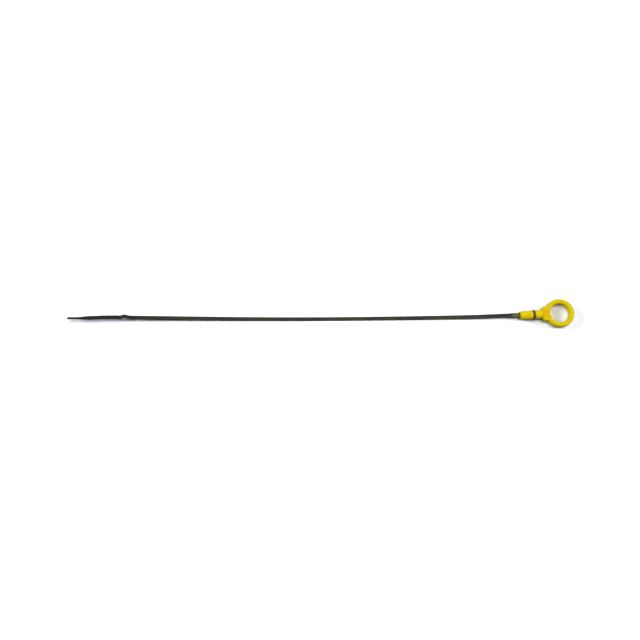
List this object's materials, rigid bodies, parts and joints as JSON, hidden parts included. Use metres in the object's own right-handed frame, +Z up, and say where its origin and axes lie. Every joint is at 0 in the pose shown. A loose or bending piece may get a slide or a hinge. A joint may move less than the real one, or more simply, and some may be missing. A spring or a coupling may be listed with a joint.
{
  "type": "engine oil dipstick",
  "caption": "Engine oil dipstick: a flat steel blade with a centring hump and a twisted tip, moulded into a ring handle with a sealed plug.",
  "frame": {"origin": "on the surface that the dipstick lies on, under the middle of its bounding box", "axes": "+Z up, +X along the dipstick from the tip of the blade to the finger ring, +Y across it"},
  "size_m": [0.507, 0.0288, 0.0107],
  "materials": {
    "blade_steel": "dark oiled strip",
    "handle_plastic": "moulded, gloss",
    "seal_rubber": "satin"
  },
  "bodies": {
    "root": {"blade": "blade_steel", "handle": "handle_plastic", "seal_ring": "seal_rubber"}
  },
  "joints": []
}
